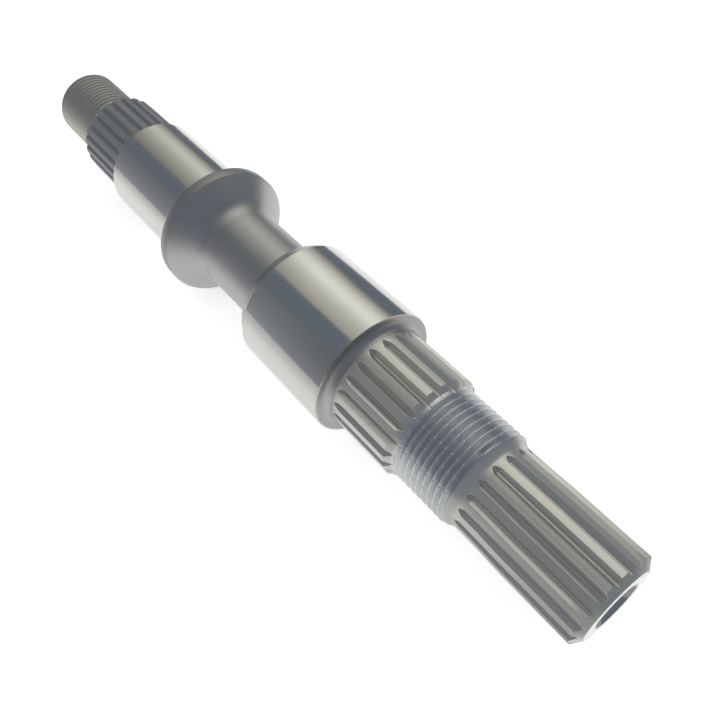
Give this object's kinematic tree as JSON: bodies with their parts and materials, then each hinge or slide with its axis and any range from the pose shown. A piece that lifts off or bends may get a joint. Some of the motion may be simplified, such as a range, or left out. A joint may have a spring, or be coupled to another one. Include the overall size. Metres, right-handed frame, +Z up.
{
  "type": "gearbox output shaft",
  "caption": "Splined gearbox output shaft with ground bearing journals, a flared flange, threaded lengths and a tapped hole in one end.",
  "frame": {"origin": "on the shaft's axis, at the middle of the large bearing journal's ground length of 28.6 mm with its lead", "axes": "+X along the axis towards the near, tapped end; +Z up as the shaft lies; +Y to its left"},
  "size_m": [0.1942, 0.032, 0.032],
  "materials": {
    "shaft_steel": "ground journals, turned flange and neck, hobbed splines, cut threads"
  },
  "bodies": {
    "root": {"output_shaft": "shaft_steel"}
  },
  "joints": []
}
